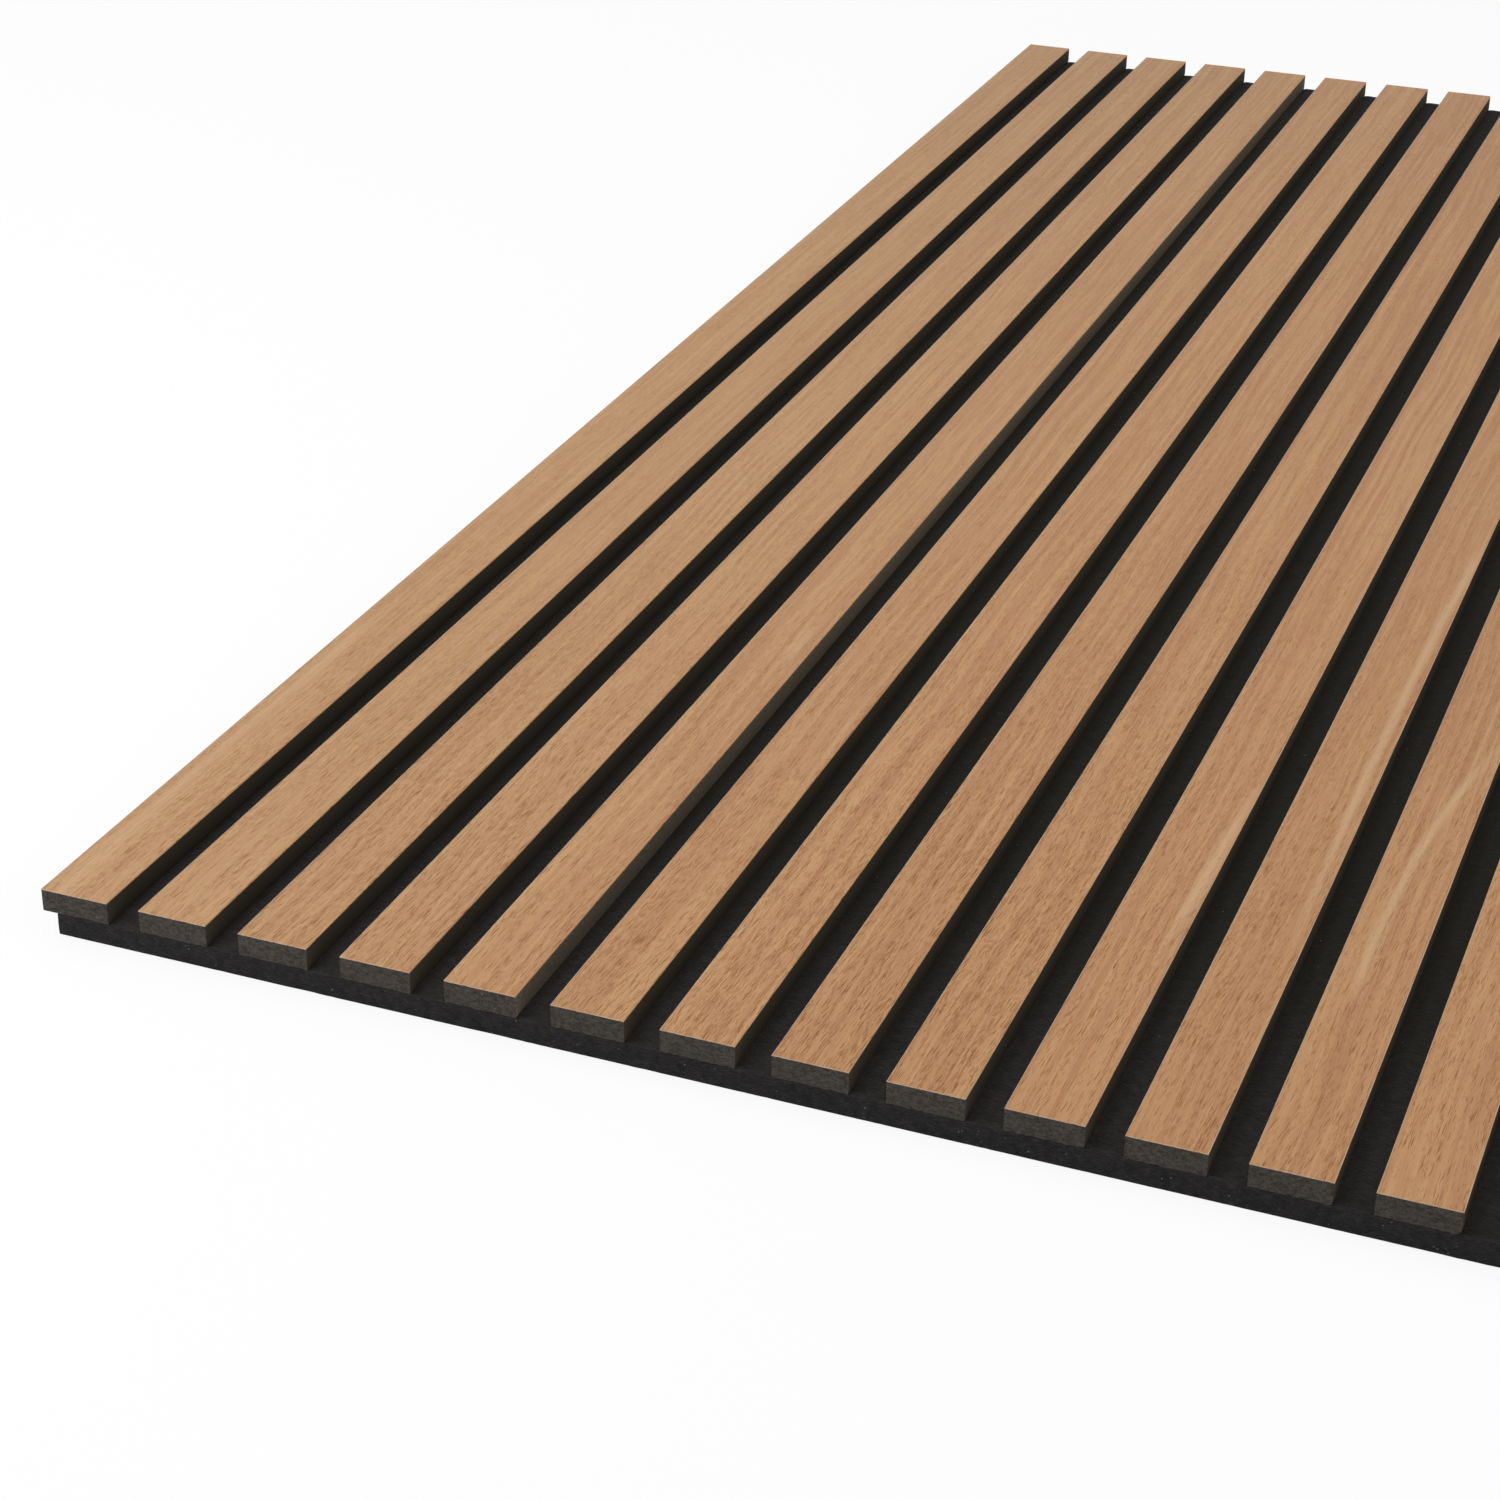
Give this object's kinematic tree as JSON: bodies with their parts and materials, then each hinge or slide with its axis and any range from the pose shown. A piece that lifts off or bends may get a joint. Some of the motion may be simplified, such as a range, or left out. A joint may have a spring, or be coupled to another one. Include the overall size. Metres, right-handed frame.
{
  "type": "acoustic slat wall panel",
  "caption": "Flat wall panel of parallel wood-veneered slats with dark fibreboard cores on a black felt board; it lines a wall and damps sound.",
  "frame": {"origin": "centre of the felt board's back face, which lies against the wall", "axes": "+X across the slats, from the overhanging slat to the felt lap; +Y along the slats; +Z out of the wall, to the veneered face"},
  "size_m": [0.6055, 1.2, 0.018],
  "materials": {
    "felt": "black pressed polyester felt",
    "fibreboard_core": "through-dyed charcoal fibreboard, sawn",
    "wood_veneer": "light brown open-pored wood veneer, matt lacquer"
  },
  "bodies": {
    "root": {"felt_backing": "felt", "slat_core_01": "fibreboard_core", "slat_core_02": "fibreboard_core", "slat_core_03": "fibreboard_core", "slat_core_04": "fibreboard_core", "slat_core_05": "fibreboard_core", "slat_core_06": "fibreboard_core", "slat_core_07": "fibreboard_core", "slat_core_08": "fibreboard_core", "slat_core_09": "fibreboard_core", "slat_core_10": "fibreboard_core", "slat_core_11": "fibreboard_core", "slat_core_12": "fibreboard_core", "slat_core_13": "fibreboard_core", "slat_core_14": "fibreboard_core", "slat_core_15": "fibreboard_core", "slat_veneer_01": "wood_veneer", "slat_veneer_02": "wood_veneer", "slat_veneer_03": "wood_veneer", "slat_veneer_04": "wood_veneer", "slat_veneer_05": "wood_veneer", "slat_veneer_06": "wood_veneer", "slat_veneer_07": "wood_veneer", "slat_veneer_08": "wood_veneer", "slat_veneer_09": "wood_veneer", "slat_veneer_10": "wood_veneer", "slat_veneer_11": "wood_veneer", "slat_veneer_12": "wood_veneer", "slat_veneer_13": "wood_veneer", "slat_veneer_14": "wood_veneer", "slat_veneer_15": "wood_veneer"}
  },
  "joints": []
}
